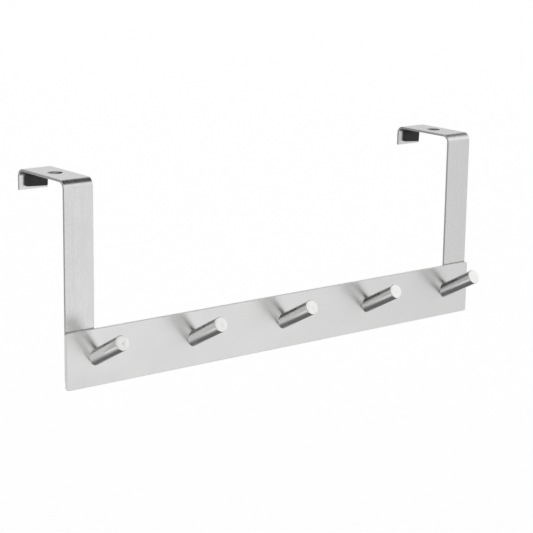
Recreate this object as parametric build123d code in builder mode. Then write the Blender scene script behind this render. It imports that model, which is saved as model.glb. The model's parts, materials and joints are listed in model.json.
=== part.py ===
from build123d import *
from math import cos, radians, sin, tan
import os

# Over door hook rack: a flat rail with slanting round pins, hung from two bent straps that
# hook over the top edge of a door. +X runs along the rail, -Y is the room side with the pins,
# +Z is up. The origin is midway between the straps, in the middle of the space for the door,
# at the height of the door's top edge. Sizes are in millimetres.

# Rail: a flat bar with small corner rounds and broken edges
rail_length = 328.0
rail_height = 35.0
rail_thickness = 2.0
rail_corner_radius = 1.5
rail_edge_break = 0.25

# Door straps: flat bar bent twice, into a long leg, a flat top and a short lip
strap_width = 20.0
strap_thickness = 1.5
strap_inset = 0.75  # from the rail's end to the strap's outer edge
strap_drop = 89.0  # from the door's top edge down to the rail's top edge
leg_lap = 30.5  # length of leg welded behind the rail
lip_height = 13.2  # over the bend, down to the lip's edge
bend_radius = 3.7  # inside the bend
strap_edge_break = 0.2

# Screw hole in the middle of each strap's top, countersunk from above
hole_diameter = 7.5
countersink_diameter = 9.2
countersink_angle = 90.0

# Foam pads on the inside of the lips, cut and stuck on by hand and a little askew
door_gap = 46.0  # clear space between leg and pad
pad_thickness = 2.5
pad_height = 7.2
pad_widths = {"left": 15.2, "right": 13.5}
pad_bottom_margin = 1.5  # bare strip of lip below the pad
pad_corner_radius = 1.0
pad_edge_break = 0.4
pad_turns = {"left": 3.0, "right": 4.0}  # degrees, the +X end lower
pad_shifts = {"left": 1.3, "right": 1.4}  # along the rail, from the strap's middle

# Hook pins: round bar, mitred to stand on the rail's face, cut square at the free end
pin_count = 5
pin_diameter = 9.5
pin_length = 31.0  # along the axis, from the rail's face to the free end
pin_slant = 28.0  # degrees above horizontal
pin_end_margin = 20.8  # from the rail's end to the first pin's axis
pin_height = 18.0  # of the axis at the rail's face, above the rail's lower edge
pin_end_chamfer = 0.3
centre_mark_diameter = 1.2
centre_mark_depth = 0.35

# Planes and heights that the pieces share
throat = door_gap + pad_thickness
leg_back_y = -throat / 2
rail_back_y = leg_back_y - strap_thickness
rail_front_y = rail_back_y - rail_thickness
lip_inner_y = throat / 2
outer_bend_radius = bend_radius + strap_thickness
rail_top_z = -strap_drop
rail_bottom_z = rail_top_z - rail_height
leg_end_z = rail_top_z - leg_lap
lip_end_z = strap_thickness - lip_height
strap_x = rail_length / 2 - strap_inset - strap_width / 2
strap_sides = {"left": -1, "right": 1}

os.makedirs("parts", exist_ok=True)

# Rail, with its back against the straps
with BuildPart() as rail:
    with BuildSketch(Plane.XZ.offset(-rail_back_y)):
        with Locations((0, (rail_top_z + rail_bottom_z) / 2)):
            RectangleRounded(rail_length, rail_height, rail_corner_radius)
    extrude(amount=rail_thickness)
    rail_faces = rail.faces().filter_by(Axis.Y)
    fillet(rail_faces.edges(), radius=rail_edge_break)
rail.part.label = "rail"
export_step(rail.part, "parts/rail.step")

# Straps, each bent from one flat bar: the outline is the outer face, the metal lies inside it
door_straps = {}

for side, sign in strap_sides.items():
    with BuildPart() as door_strap:
        with BuildSketch(Plane.YZ.offset(sign * strap_x - strap_width / 2)):
            with BuildLine() as outer_face:
                FilletPolyline(
                    (rail_back_y, leg_end_z),
                    (rail_back_y, strap_thickness),
                    (lip_inner_y + strap_thickness, strap_thickness),
                    (lip_inner_y + strap_thickness, lip_end_z),
                    radius=outer_bend_radius,
                )
                offset(amount=strap_thickness, side=Side.RIGHT, closed=True)
            make_face()
        extrude(amount=strap_width)
        strap_flanks = door_strap.faces().filter_by(Axis.X)
        fillet(strap_flanks.edges(), radius=strap_edge_break)
        with Locations((sign * strap_x, 0, strap_thickness)):
            CounterSinkHole(
                radius=hole_diameter / 2,
                counter_sink_radius=countersink_diameter / 2,
                depth=2 * strap_thickness,
                counter_sink_angle=countersink_angle,
            )
    door_strap.part.label = f"door_strap_{side}"
    export_step(door_strap.part, f"parts/door_strap_{side}.step")
    door_straps[side] = door_strap.part

# Foam pads, on the flat stretch of each lip and pressed against the beginning of its bend
pad_z = lip_end_z + pad_bottom_margin + pad_height / 2

for side, sign in strap_sides.items():
    pad_plane = Plane(
        origin=(sign * strap_x + pad_shifts[side], lip_inner_y, pad_z),
        x_dir=(cos(radians(pad_turns[side])), 0, -sin(radians(pad_turns[side]))),
        z_dir=(0, -1, 0),
    )
    with BuildPart() as foam_pad:
        with BuildSketch(pad_plane):
            RectangleRounded(pad_widths[side], pad_height, pad_corner_radius)
        extrude(amount=pad_thickness)
        fillet(foam_pad.faces().sort_by(Axis.Y)[0].edges(), radius=pad_edge_break)
        add(door_straps[side], mode=Mode.SUBTRACT)
    foam_pad.part.label = f"foam_pad_{side}"
    export_step(foam_pad.part, f"parts/foam_pad_{side}.step")

# Hook pins, evenly spaced along the rail
pin_pitch = (rail_length - 2 * pin_end_margin) / (pin_count - 1)
pin_axis = (0, -cos(radians(pin_slant)), sin(radians(pin_slant)))
mitre_reach = pin_diameter / 2 * tan(radians(pin_slant))
rail_face = Plane.XZ.offset(-rail_front_y)

for number in range(pin_count):
    pin_x = (number - (pin_count - 1) / 2) * pin_pitch
    pin_foot = Plane(
        origin=(pin_x, rail_front_y, rail_bottom_z + pin_height), x_dir=(1, 0, 0), z_dir=pin_axis
    )
    with BuildPart() as hook_pin:
        with BuildSketch(pin_foot.offset(-2 * mitre_reach)):
            Circle(pin_diameter / 2)
        extrude(amount=pin_length + 2 * mitre_reach)
        free_end = hook_pin.faces().sort_by(Axis.Y)[0]
        chamfer(free_end.edges(), length=pin_end_chamfer)
        with BuildSketch(pin_foot.offset(pin_length)):
            Circle(centre_mark_diameter / 2)
        extrude(amount=-centre_mark_depth, taper=45, mode=Mode.SUBTRACT)
        split(bisect_by=rail_face, keep=Keep.TOP)
    hook_pin.part.label = f"hook_pin_{number + 1}"
    export_step(hook_pin.part, f"parts/hook_pin_{number + 1}.step")
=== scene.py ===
import json
import math

import bpy
from mathutils import Matrix, Vector


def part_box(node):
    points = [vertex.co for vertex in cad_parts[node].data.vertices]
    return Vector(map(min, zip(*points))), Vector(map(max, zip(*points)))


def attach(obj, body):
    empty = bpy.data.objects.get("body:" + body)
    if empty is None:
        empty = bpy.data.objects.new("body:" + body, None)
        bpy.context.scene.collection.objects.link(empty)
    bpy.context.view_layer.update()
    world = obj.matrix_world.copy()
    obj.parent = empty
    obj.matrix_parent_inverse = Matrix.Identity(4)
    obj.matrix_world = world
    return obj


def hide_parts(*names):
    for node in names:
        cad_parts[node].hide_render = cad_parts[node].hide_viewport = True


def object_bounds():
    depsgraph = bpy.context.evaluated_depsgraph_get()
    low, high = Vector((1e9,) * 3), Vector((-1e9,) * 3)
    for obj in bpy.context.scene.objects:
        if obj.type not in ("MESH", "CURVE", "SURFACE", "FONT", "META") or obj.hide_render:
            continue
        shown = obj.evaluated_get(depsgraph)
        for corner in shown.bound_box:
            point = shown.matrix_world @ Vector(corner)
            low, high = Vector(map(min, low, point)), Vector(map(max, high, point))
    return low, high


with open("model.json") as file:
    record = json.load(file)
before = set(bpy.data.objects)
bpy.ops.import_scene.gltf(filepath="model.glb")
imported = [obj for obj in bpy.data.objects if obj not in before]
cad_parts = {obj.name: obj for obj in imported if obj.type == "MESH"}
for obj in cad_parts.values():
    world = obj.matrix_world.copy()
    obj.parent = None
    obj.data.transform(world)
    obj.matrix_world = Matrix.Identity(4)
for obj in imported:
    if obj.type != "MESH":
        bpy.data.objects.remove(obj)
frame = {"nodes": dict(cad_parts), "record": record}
cad_low, cad_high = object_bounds()

# Camera
# A long lens at the front left, a little above the rail, with the rack in the middle of the
# picture, as the photo was taken.
photo_pixels = 533
focal_pixels = 1740
sensor_width = 36.0
camera_place = Vector((-0.6841, -0.8656, 0.1831))
camera_yaw = math.radians(38.60)
camera_pitch = math.radians(13.20)
camera_roll = math.radians(0.85)

camera_data = bpy.data.cameras.new("camera")
camera_data.sensor_width = sensor_width
camera_data.lens = focal_pixels / photo_pixels * sensor_width
camera = bpy.data.objects.new("camera", camera_data)
camera.matrix_world = (
    Matrix.Translation(camera_place)
    @ Matrix.Rotation(-camera_yaw, 4, "Z")
    @ Matrix.Rotation(math.pi / 2 - camera_pitch, 4, "X")
    @ Matrix.Rotation(camera_roll, 4, "Z")
)
bpy.context.scene.collection.objects.link(camera)
bpy.context.scene.camera = camera
bpy.context.scene.view_settings.view_transform = "Standard"

# Studio
# A white room with one soft light from above and the left. The floor lies well below, since the
# rack hangs at the top of a door. Dark and grey cards with soft rims stand where the metal needs
# an edge, as a photographer of bright metal sets them, and only the metal's gloss sees them.
room_light = 0.62
room_white = (1.0, 1.0, 1.0, 1.0)
lamp_strength = 1.1
lamp_spread = math.radians(50)
lamp_turn = (math.radians(38), math.radians(-14), 0.0)
floor_drop = 0.9
floor_size = 60.0
floor_grey = (0.8, 0.8, 0.8, 1.0)
floor_roughness = 0.9
floor_lift = 0.27
upright = math.pi / 2
# Each card: its middle, width and height, turn about X in radians and about Z in degrees, grey
# in its core, share of its reach that the core takes, and whether it is round
cards = {
    "card_above": ((0.98, -0.45, 2.00), (2.90, 10.0), (0.0, -30.0), 0.02, 0.45, True),
    "card_below": ((0.10, -0.30, -0.95), (2.10, 3.60), (0.0, 0.0), 0.16, 0.38, False),
    "card_front": ((0.21, -1.50, 0.25), (2.27, 2.10), (upright, -61.6), 0.04, 0.92, False),
    "card_back": ((0.21, 1.44, 0.40), (2.27, 1.10), (upright, 61.6), 0.19, 0.92, False),
    "card_high": ((-0.83, 0.73, 0.69), (1.10, 1.10), (0.93, -138.5), 0.03, 0.70, True),
    "card_beside": ((-1.36, -0.63, -0.25), (1.60, 1.30), (upright, 115.0), 0.45, 0.30, False),
    "card_left": ((-1.20, 0.80, -0.03), (2.00, 1.94), (upright, -128.0), 0.58, 0.85, False),
    "card_right": ((1.90, -1.00, -0.42), (3.00, 2.00), (upright, 0.0), 0.63, 0.40, False),
    "card_behind": ((1.30, 1.60, 0.40), (2.40, 1.40), (upright, 141.0), 0.70, 0.60, False),
}


def node(tree, kind, values=None, **settings):
    """Adds a node to the tree: a value that is a socket is linked, and any other is set."""
    added = tree.nodes.new(kind)
    for name, setting in settings.items():
        setattr(added, name, setting)
    for name, value in (values or {}).items():
        if isinstance(value, bpy.types.NodeSocket):
            tree.links.new(value, added.inputs[name])
        else:
            added.inputs[name].default_value = value
    return added


def seen_directly(tree):
    """1 for rays of the camera, of gloss and of clear material, 0 for the light's own rays."""
    path = node(tree, "ShaderNodeLightPath").outputs
    either = node(
        tree,
        "ShaderNodeMath",
        {0: path["Is Camera Ray"], 1: path["Is Glossy Ray"]},
        operation="MAXIMUM",
    )
    any_of_them = node(
        tree,
        "ShaderNodeMath",
        {0: either.outputs[0], 1: path["Is Transmission Ray"]},
        operation="MAXIMUM",
    )
    return any_of_them.outputs[0]


world = bpy.data.worlds.new("white_room")
world.use_nodes = True
bpy.context.scene.world = world
tree = world.node_tree
background = tree.nodes["Background"]
background.inputs["Color"].default_value = room_white
strength = node(
    tree, "ShaderNodeMapRange", {"Value": seen_directly(tree), "To Min": room_light, "To Max": 1.0}
)
tree.links.new(strength.outputs["Result"], background.inputs["Strength"])

bpy.ops.object.light_add(type="SUN", rotation=lamp_turn)
lamp = bpy.context.object
lamp.name = "soft_light"
lamp.data.energy = lamp_strength
lamp.data.angle = lamp_spread
lamp.visible_glossy = False

bpy.ops.object.select_all(action="DESELECT")
bpy.ops.mesh.primitive_plane_add(size=floor_size, location=(0, 0, cad_low.z - floor_drop))
floor = bpy.context.object
floor.name = "floor"
paint = bpy.data.materials.new("pale_floor")
paint.use_nodes = True
tree = paint.node_tree
shader = tree.nodes["Principled BSDF"]
shader.inputs["Base Color"].default_value = floor_grey
shader.inputs["Roughness"].default_value = floor_roughness
shader.inputs["Emission Color"].default_value = room_white
lift = node(tree, "ShaderNodeMath", {0: seen_directly(tree), 1: floor_lift}, operation="MULTIPLY")
tree.links.new(lift.outputs[0], shader.inputs["Emission Strength"])
floor.data.materials.append(paint)

for name, (middle, size, (tilt, turn), grey, core, is_round) in cards.items():
    bpy.ops.object.select_all(action="DESELECT")
    bpy.ops.mesh.primitive_plane_add(
        size=2.0, location=middle, rotation=(tilt, 0.0, math.radians(turn))
    )
    card = bpy.context.object
    card.name = name
    card.scale = (size[0] / 2, size[1] / 2, 1.0)
    card.visible_camera = False
    card.visible_diffuse = False
    card.visible_transmission = False
    card.visible_volume_scatter = False
    card.visible_shadow = False
    felt = bpy.data.materials.new(name + "_felt")
    felt.use_nodes = True
    tree = felt.node_tree
    place = node(tree, "ShaderNodeTexCoord").outputs["Object"]
    reach = node(tree, "ShaderNodeVectorMath", {0: place}, operation="LENGTH").outputs["Value"]
    if not is_round:
        sizes = node(tree, "ShaderNodeVectorMath", {0: place}, operation="ABSOLUTE").outputs[0]
        sides = node(tree, "ShaderNodeSeparateXYZ", {0: sizes}).outputs
        reach = node(
            tree, "ShaderNodeMath", {0: sides["X"], 1: sides["Y"]}, operation="MAXIMUM"
        ).outputs[0]
    shade = node(
        tree,
        "ShaderNodeMapRange",
        {"Value": reach, "From Min": core, "From Max": 1.0, "To Min": grey, "To Max": 1.0},
    ).outputs["Result"]
    glow = node(tree, "ShaderNodeEmission", {"Strength": shade})
    tree.links.new(glow.outputs[0], tree.nodes["Material Output"].inputs["Surface"])
    card.data.materials.append(felt)

# Rail
# One flat bar of stainless steel with small corner rounds, ground lengthwise with a fine belt.
# Its ends and long edges are cut faces, coloured a little brighter than the front as a painted
# highlight.
rail_grain = (14.0, 1100.0, 1100.0)
rail_cut_faces = (1.0, 0.0, 1.0)
dark_line_share = 0.98  # how bright the darkest brushing lines are against the brightest
handled_tint = (0.97, 0.97, 0.97, 1.0)
# Painted shade: the colour of a dark line on the straps' fronts where the leg passes behind the
# rail's top edge
crease_shade_colour = (0.42, 0.42, 0.41, 1.0)


def brushed_steel(name, grain, cut_faces, cut_tone_with_painted_light, grain_turn, roughness, tone, crease=None):
    """Ground steel. The grain is how often its lines change in a metre along X, Y and Z, the cut
    tone is the cut faces' colour with painted light in it, and the crease is the height and reach
    of a line of painted shade on the front, if there is one.
    A Mix node's sockets 2 and 3 are its two numbers, and 6 and 7 are its two colours."""
    material = bpy.data.materials.new(name)
    material.use_nodes = True
    tree = material.node_tree
    shader = tree.nodes["Principled BSDF"]
    place = node(tree, "ShaderNodeTexCoord").outputs["Object"]

    # Brushing lines, fine ones and broader bands of them
    along = node(tree, "ShaderNodeMapping", {"Vector": place, "Scale": grain}).outputs[0]
    fine = node(
        tree,
        "ShaderNodeTexNoise",
        {"Vector": along, "Scale": 1.0, "Detail": 4.0, "Roughness": 0.7},
    ).outputs["Fac"]
    bands = node(
        tree, "ShaderNodeTexNoise", {"Vector": along, "Scale": 0.21, "Detail": 2.0}
    ).outputs["Fac"]
    lines = node(tree, "ShaderNodeMath", {0: fine, 1: bands}, operation="ADD").outputs[0]

    # Cloudy patches, where hands and the polishing cloth have been
    clouds = node(
        tree,
        "ShaderNodeTexNoise",
        {"Vector": place, "Scale": 32.0, "Detail": 3.0, "Distortion": 0.6},
    ).outputs["Fac"]

    # The cut faces, by the way that they face
    facing = node(tree, "ShaderNodeNewGeometry").outputs["Normal"]
    sizes = node(tree, "ShaderNodeVectorMath", {0: facing}, operation="ABSOLUTE").outputs[0]
    towards = node(tree, "ShaderNodeVectorMath", {0: sizes, 1: cut_faces}, operation="DOT_PRODUCT")
    cut = node(
        tree,
        "ShaderNodeMapRange",
        {"Value": towards.outputs["Value"], "From Min": 0.75, "From Max": 0.95},
    ).outputs["Result"]

    # Colour: the ground faces, then the cut ones, whose tone carries painted light, then painted
    # shade in the corner over a piece's edge
    share = node(
        tree, "ShaderNodeMapRange", {"Value": lines, "From Min": 0.75, "From Max": 1.25}
    ).outputs["Result"]
    dull = tone * dark_line_share
    ground = node(
        tree,
        "ShaderNodeMix",
        {"Factor": share, 6: (dull, dull, dull * 0.995, 1.0), 7: (tone, tone, tone * 0.995, 1.0)},
        data_type="RGBA",
    ).outputs[2]
    handled = node(
        tree,
        "ShaderNodeMix",
        {"Factor": clouds, 6: ground, 7: handled_tint},
        data_type="RGBA",
        blend_type="MULTIPLY",
    ).outputs[2]
    colour = node(
        tree,
        "ShaderNodeMix",
        {"Factor": cut, 6: handled, 7: (cut_tone_with_painted_light, cut_tone_with_painted_light, cut_tone_with_painted_light * 0.99, 1.0)},
        data_type="RGBA",
    ).outputs[2]
    if crease:
        level, reach = crease
        # Painted shade: a thin dark band on the front faces at the crease's height
        height = node(tree, "ShaderNodeSeparateXYZ", {0: place}).outputs["Z"]
        front = node(tree, "ShaderNodeSeparateXYZ", {0: facing}).outputs["Y"]
        near = node(
            tree, "ShaderNodeMath", {0: height, 1: level, 2: reach}, operation="COMPARE"
        ).outputs[0]
        outward = node(
            tree, "ShaderNodeMath", {0: front, 1: -0.5}, operation="LESS_THAN"
        ).outputs[0]
        crease_shade = node(
            tree, "ShaderNodeMath", {0: near, 1: outward}, operation="MULTIPLY"
        ).outputs[0]
        colour = node(
            tree,
            "ShaderNodeMix",
            {"Factor": crease_shade, 6: colour, 7: crease_shade_colour},
            data_type="RGBA",
        ).outputs[2]
    tree.links.new(colour, shader.inputs["Base Color"])

    # Gloss, which the lines and the patches break up, and the lines' relief
    summed = node(tree, "ShaderNodeMath", {0: lines, 1: clouds}, operation="ADD").outputs[0]
    gloss = node(
        tree,
        "ShaderNodeMapRange",
        {
            "Value": summed,
            "From Min": 1.1,
            "From Max": 1.9,
            "To Min": roughness - 0.04,
            "To Max": roughness + 0.05,
        },
    ).outputs["Result"]
    rough = node(
        tree, "ShaderNodeMix", {"Factor": cut, 2: gloss, 3: roughness + 0.04}, data_type="FLOAT"
    ).outputs[0]
    tree.links.new(rough, shader.inputs["Roughness"])

    relief = node(
        tree, "ShaderNodeBump", {"Height": fine, "Strength": 0.28, "Distance": 0.000006}
    ).outputs["Normal"]
    tree.links.new(relief, shader.inputs["Normal"])
    around = node(tree, "ShaderNodeTangent", direction_type="RADIAL", axis="X").outputs[0]
    tree.links.new(around, shader.inputs["Tangent"])
    shader.inputs["Metallic"].default_value = 1.0
    shader.inputs["Anisotropic"].default_value = 0.55
    shader.inputs["Anisotropic Rotation"].default_value = grain_turn
    return material


def dress(name, material):
    """Gives a CAD node one material all over."""
    mesh = frame["nodes"][name].data
    mesh.materials.clear()
    mesh.materials.append(material)
    for polygon in mesh.polygons:
        polygon.material_index = 0


rail_steel = brushed_steel(
    "rail_steel",
    rail_grain,
    rail_cut_faces,
    # The cut faces' brighter tone is a painted highlight along the rail's ends and edges
    cut_tone_with_painted_light=0.98,
    grain_turn=0.0,
    roughness=0.33,
    tone=0.89,
)
dress("rail", rail_steel)

# Hook pins
# Five lengths of drawn round bar. Each foot is mitred to the rail's face and welded on, and the
# free end is faced on a lathe, which leaves fine rings, a broken edge and a centre mark.
pin_sides = 128
pin_edge_break = 0.00038
pin_edge_segments = 4
pin_ring_radii = (0.0032, 0.0019)
centre_mark_radius = 0.0006
centre_mark_depth = 0.0001
centre_mark_slope = 0.9  # share of the mark's radius that its sloping wall takes
square_on = 0.99  # least cosine between the bar's axis and the normal of its whole end face
end_facing = 0.9  # the same for the faces that are finished as the end
smooth_angle = math.radians(25)
side_grain = (1600.0, 40.0, 1.0)
end_grain = (60.0, 3000.0, 1.0)
end_rings = 900.0
bar_dark_line_share = 0.94
pin_mounts = [m for m in frame["record"]["mounts"] if m["name"].startswith("hook_pin_")]
first_pin = pin_mounts[0]
pin_radius = first_pin["dims"]["r_mm"] / 1000
pin_length = first_pin["dims"]["length_mm"] / 1000
pin_axis = Vector(first_pin["axis"])
pin_middle = Vector(first_pin["pos_m"])
pin_foot = pin_middle - pin_axis * pin_length / 2
pin_end = pin_middle + pin_axis * pin_length / 2
mitre_reach = pin_radius * abs(pin_axis.z / pin_axis.y)

bpy.ops.object.select_all(action="DESELECT")
bpy.ops.mesh.primitive_cylinder_add(
    vertices=pin_sides,
    radius=pin_radius,
    depth=pin_length + 2 * mitre_reach,
    location=pin_middle - pin_axis * mitre_reach,
    rotation=(math.atan2(-pin_axis.y, pin_axis.z), 0.0, 0.0),
)
pin = bpy.context.object
bpy.ops.object.transform_apply(location=True, rotation=True, scale=True)


def select_end_face(mesh, point, axis):
    """Selects only the flat face that holds the point and faces along the axis."""
    bpy.ops.object.mode_set(mode="EDIT")
    bpy.ops.mesh.select_all(action="DESELECT")
    bpy.ops.object.mode_set(mode="OBJECT")
    nearest = min(
        (face for face in mesh.polygons if face.normal.dot(axis) > square_on),
        key=lambda face: (face.center - point).length,
    )
    nearest.select = True
    bpy.ops.object.mode_set(mode="EDIT")


bpy.ops.object.mode_set(mode="EDIT")
bpy.ops.mesh.select_all(action="SELECT")
bpy.ops.mesh.bisect(plane_co=pin_foot, plane_no=(0.0, -1.0, 0.0), use_fill=True, clear_inner=True)
bpy.ops.object.mode_set(mode="OBJECT")
select_end_face(pin.data, pin_end, pin_axis)
bpy.ops.mesh.bevel(offset=pin_edge_break, segments=pin_edge_segments, affect="EDGES")
bpy.ops.object.mode_set(mode="OBJECT")
select_end_face(pin.data, pin_end, pin_axis)
ring_edge = pin_radius - pin_edge_break
for ring_radius in pin_ring_radii + (centre_mark_radius,):
    bpy.ops.mesh.inset(thickness=ring_edge - ring_radius)
    ring_edge = ring_radius
bpy.ops.mesh.inset(thickness=centre_mark_radius * centre_mark_slope, depth=-centre_mark_depth)
bpy.ops.object.mode_set(mode="OBJECT")


def unwrap_round_bar(mesh, foot, axis, length):
    """UV in metres: U goes round the bar, V up its side and then in over the end to its middle."""
    side_way = Vector((1.0, 0.0, 0.0))
    other_way = axis.cross(side_way)
    layer = mesh.uv_layers.new(name="around_bar")
    for face in mesh.polygons:
        middle = face.center - foot
        middle_angle = math.atan2(middle.dot(other_way), middle.dot(side_way))
        for loop in face.loop_indices:
            point = mesh.vertices[mesh.loops[loop].vertex_index].co - foot
            height = point.dot(axis)
            radius = (point - axis * height).length
            angle = math.atan2(point.dot(other_way), point.dot(side_way)) - middle_angle
            angle = (angle + math.pi) % (2 * math.pi) - math.pi + middle_angle
            layer.data[loop].uv = (angle * pin_radius, min(height, length) + pin_radius - radius)


unwrap_round_bar(pin.data, pin_foot, pin_axis, pin_length)
bpy.ops.object.shade_smooth_by_angle(angle=smooth_angle)


def bar_steel(name, grain, rings, tone, roughness, grain_turn):
    """Steel that follows the bar's UV: lines along the side, or rings on the end."""
    material = bpy.data.materials.new(name)
    material.use_nodes = True
    tree = material.node_tree
    shader = tree.nodes["Principled BSDF"]
    place = node(tree, "ShaderNodeUVMap", uv_map="around_bar").outputs["UV"]
    along = node(tree, "ShaderNodeMapping", {"Vector": place, "Scale": grain}).outputs[0]
    lines = node(
        tree,
        "ShaderNodeTexNoise",
        {"Vector": along, "Scale": 1.0, "Detail": 4.0, "Roughness": 0.65},
    ).outputs["Fac"]
    height = lines
    if rings:
        turned = node(
            tree,
            "ShaderNodeTexWave",
            {"Vector": place, "Scale": rings, "Distortion": 0.4, "Detail": 1.0},
            bands_direction="Y",
        ).outputs["Fac"]
        height = node(tree, "ShaderNodeMath", {0: lines, 1: turned}, operation="ADD").outputs[0]
    clouds = node(
        tree, "ShaderNodeTexNoise", {"Vector": place, "Scale": 180.0, "Detail": 3.0}
    ).outputs["Fac"]
    share = node(
        tree, "ShaderNodeMapRange", {"Value": lines, "From Min": 0.3, "From Max": 0.7}
    ).outputs["Result"]
    dull = tone * bar_dark_line_share
    colour = node(
        tree,
        "ShaderNodeMix",
        {"Factor": share, 6: (dull, dull, dull * 0.99, 1.0), 7: (tone, tone, tone * 0.99, 1.0)},
        data_type="RGBA",
    ).outputs[2]
    tree.links.new(colour, shader.inputs["Base Color"])
    gloss = node(
        tree,
        "ShaderNodeMapRange",
        {
            "Value": clouds,
            "From Min": 0.3,
            "From Max": 0.7,
            "To Min": roughness - 0.03,
            "To Max": roughness + 0.04,
        },
    ).outputs["Result"]
    tree.links.new(gloss, shader.inputs["Roughness"])
    relief = node(
        tree, "ShaderNodeBump", {"Height": height, "Strength": 0.6, "Distance": 0.00001}
    ).outputs["Normal"]
    tree.links.new(relief, shader.inputs["Normal"])
    around = node(
        tree, "ShaderNodeTangent", direction_type="UV_MAP", uv_map="around_bar"
    ).outputs[0]
    tree.links.new(around, shader.inputs["Tangent"])
    shader.inputs["Metallic"].default_value = 1.0
    shader.inputs["Anisotropic"].default_value = 0.4
    shader.inputs["Anisotropic Rotation"].default_value = grain_turn
    return material


side_steel = bar_steel(
    "pin_side", side_grain, rings=0.0, tone=0.75, roughness=0.16, grain_turn=0.0
)
end_steel = bar_steel(
    "pin_end", end_grain, rings=end_rings, tone=1.0, roughness=0.33, grain_turn=0.25
)
pin.data.materials.append(side_steel)
pin.data.materials.append(end_steel)
for face in pin.data.polygons:
    face.material_index = 1 if face.normal.dot(pin_axis) > end_facing else 0

for mount in pin_mounts:
    hook = pin
    if mount is not first_pin:
        hook = pin.copy()
        hook.data = pin.data.copy()
        hook.data.transform(Matrix.Translation(Vector(mount["pos_m"]) - pin_middle))
        bpy.context.scene.collection.objects.link(hook)
    hook.name = mount["name"].replace("hook_pin", "round_pin")
    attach(hook, "root")
    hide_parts(mount["name"])

# Door straps
# Two flat bars of the same steel, brushed along their length and then bent over the door's edge
# into a leg, a top and a short lip. The sheared sides are rougher, and coloured darker, partly as
# their finish and partly as painted shade.
strap_grain = (1100.0, 14.0, 14.0)
strap_cut_faces = (1.0, 0.0, 0.0)
crease_reach = 0.0006
rail_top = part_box("rail")[1].z
strap_steel = brushed_steel(
    "strap_steel",
    strap_grain,
    strap_cut_faces,
    # Darker sheared sides: partly their finish, partly painted shade
    cut_tone_with_painted_light=0.46,
    grain_turn=0.25,
    roughness=0.28,
    tone=0.86,
    # Painted shade along the legs' fronts at the rail's top edge
    crease=(rail_top, crease_reach),
)

# The inside of the screw holes: painted shade in the recess, darkest on the walls that face back
# and to the left, over fine tool chatter
hole_reach = 0.0047
level_facing = 0.9
shaded_side = (-0.78, 0.62, 0.0)
hole_shade_steel = bpy.data.materials.new("hole_steel_painted_shade")
hole_shade_steel.use_nodes = True
tree = hole_shade_steel.node_tree
shader = tree.nodes["Principled BSDF"]
place = node(tree, "ShaderNodeTexCoord").outputs["Object"]
chatter = node(tree, "ShaderNodeTexNoise", {"Vector": place, "Scale": 2500.0}).outputs["Fac"]
facing = node(tree, "ShaderNodeNewGeometry").outputs["Normal"]
# Painted shade: walls that face the shaded side are coloured darker
shade_facing = node(
    tree, "ShaderNodeVectorMath", {0: facing, 1: shaded_side}, operation="DOT_PRODUCT"
).outputs["Value"]
summed = node(tree, "ShaderNodeMath", {0: shade_facing, 1: chatter}, operation="ADD").outputs[0]
dark = node(
    tree,
    "ShaderNodeMapRange",
    {"Value": summed, "From Min": 0.1, "From Max": 0.9, "To Min": 0.55, "To Max": 0.17},
).outputs["Result"]
tree.links.new(dark, shader.inputs["Base Color"])
shader.inputs["Metallic"].default_value = 1.0
shader.inputs["Roughness"].default_value = 0.5

for side in ("left", "right"):
    name = "door_strap_" + side
    dress(name, strap_steel)
    strap = frame["nodes"][name]
    strap.data.materials.append(hole_shade_steel)
    low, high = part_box(name)
    hole_x = (low.x + high.x) / 2
    for face in strap.data.polygons:
        middle = strap.matrix_world @ face.center
        reach = math.hypot(middle.x - hole_x, middle.y)
        if reach < hole_reach and abs(face.normal.z) < level_facing and middle.z > 0:
            face.material_index = 1

# Foam pads
# Two pads cut from black closed-cell foam tape and stuck inside the lips by hand, a little askew.
# The knife pulls the edges in, and the face stands slightly proud in its middle.
pad_widths = {"left": 0.0152, "right": 0.0135}
pad_height = 0.0072
pad_turns = {"left": math.radians(3), "right": math.radians(4)}
pad_corner = 0.001
pad_corner_segments = 5
pad_edge = 0.0004
pad_edge_segments = 3
pad_crown = 0.00035
pad_waist = 0.00018
pad_cell = 0.00022
pad_dimples = 0.00008
pad_dimple_size = 0.0011


def foam(name):
    """Black foam: fine closed cells in a matt skin, with paler patches of dust."""
    material = bpy.data.materials.new(name)
    material.use_nodes = True
    tree = material.node_tree
    shader = tree.nodes["Principled BSDF"]
    place = node(tree, "ShaderNodeTexCoord").outputs["Object"]
    cells = node(
        tree, "ShaderNodeTexVoronoi", {"Vector": place, "Scale": 2600.0, "Randomness": 1.0}
    ).outputs["Distance"]
    clouds = node(
        tree,
        "ShaderNodeTexNoise",
        {"Vector": place, "Scale": 420.0, "Detail": 4.0, "Roughness": 0.6},
    ).outputs["Fac"]
    colour = node(
        tree,
        "ShaderNodeMix",
        {"Factor": clouds, 6: (0.027, 0.027, 0.028, 1.0), 7: (0.058, 0.058, 0.059, 1.0)},
        data_type="RGBA",
    ).outputs[2]
    tree.links.new(colour, shader.inputs["Base Color"])
    rough = node(
        tree, "ShaderNodeMapRange", {"Value": cells, "To Min": 0.92, "To Max": 0.72}
    ).outputs["Result"]
    tree.links.new(rough, shader.inputs["Roughness"])
    relief = node(
        tree, "ShaderNodeBump", {"Height": cells, "Strength": 0.5, "Distance": 0.00012}
    ).outputs["Normal"]
    tree.links.new(relief, shader.inputs["Normal"])
    shader.inputs["Specular IOR Level"].default_value = 0.35
    return material


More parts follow.
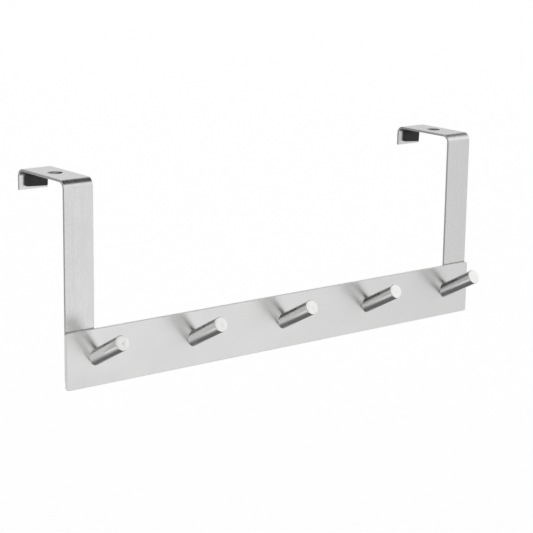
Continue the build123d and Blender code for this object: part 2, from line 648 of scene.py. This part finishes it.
pad_foam = foam("pad_foam")
for side, turn in pad_turns.items():
    pad_width = pad_widths[side]
    low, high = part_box("foam_pad_" + side)
    middle = (low + high) / 2
    thickness = high.y - low.y
    bpy.ops.object.select_all(action="DESELECT")
    bpy.ops.mesh.primitive_cube_add(size=1.0)
    pad = bpy.context.object
    pad.name = "foam_block_" + side
    pad.scale = (pad_width, thickness, pad_height)
    bpy.ops.object.transform_apply(location=False, rotation=False, scale=True)

    # Corner rounds, then the soft edge around the face
    for reach, segments, is_edge in (
        (pad_corner, pad_corner_segments, lambda a, b: abs(a.y - b.y) > thickness / 2),
        (pad_edge, pad_edge_segments, lambda a, b: max(a.y, b.y) < -thickness * 0.49),
    ):
        bpy.ops.object.mode_set(mode="EDIT")
        bpy.ops.mesh.select_all(action="DESELECT")
        bpy.ops.mesh.select_mode(type="EDGE")
        bpy.ops.object.mode_set(mode="OBJECT")
        for edge in pad.data.edges:
            a, b = (pad.data.vertices[i].co for i in edge.vertices)
            edge.select = is_edge(a, b)
        bpy.ops.object.mode_set(mode="EDIT")
        bpy.ops.mesh.bevel(offset=reach, segments=segments, affect="EDGES")
        bpy.ops.object.mode_set(mode="OBJECT")

    remesh = pad.modifiers.new("even_cells", "REMESH")
    remesh.mode = "VOXEL"
    remesh.voxel_size = pad_cell
    bpy.ops.object.modifier_apply(modifier=remesh.name)

    # The crown of the face and the waist of the sides, both inside the plain block
    for vertex in pad.data.vertices:
        across = vertex.co.x / (pad_width / 2)
        up = vertex.co.z / (pad_height / 2)
        depth = (thickness / 2 - vertex.co.y) / thickness
        sag = 1 - (1 - across**4) * (1 - up**4)
        vertex.co.y += depth * pad_crown * sag
        pinch = 1 - pad_waist * 4 * depth * (1 - depth) / (pad_height / 2)
        vertex.co.z *= pinch
        vertex.co.x *= 1 - (1 - pinch) * pad_height / pad_width

    dimples = bpy.data.textures.new("foam_dimples_" + side, "CLOUDS")
    dimples.noise_scale = pad_dimple_size
    dimples.noise_depth = 2
    swell = pad.modifiers.new("dimples", "DISPLACE")
    swell.texture = dimples
    swell.texture_coords = "LOCAL"
    swell.mid_level = 1.0
    swell.strength = pad_dimples
    bpy.ops.object.modifier_apply(modifier=swell.name)
    pad.data.transform(Matrix.Translation(middle) @ Matrix.Rotation(turn, 4, "Y"))
    bpy.ops.object.shade_smooth()
    pad.data.materials.append(pad_foam)
    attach(pad, "root")
    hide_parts("foam_pad_" + side)
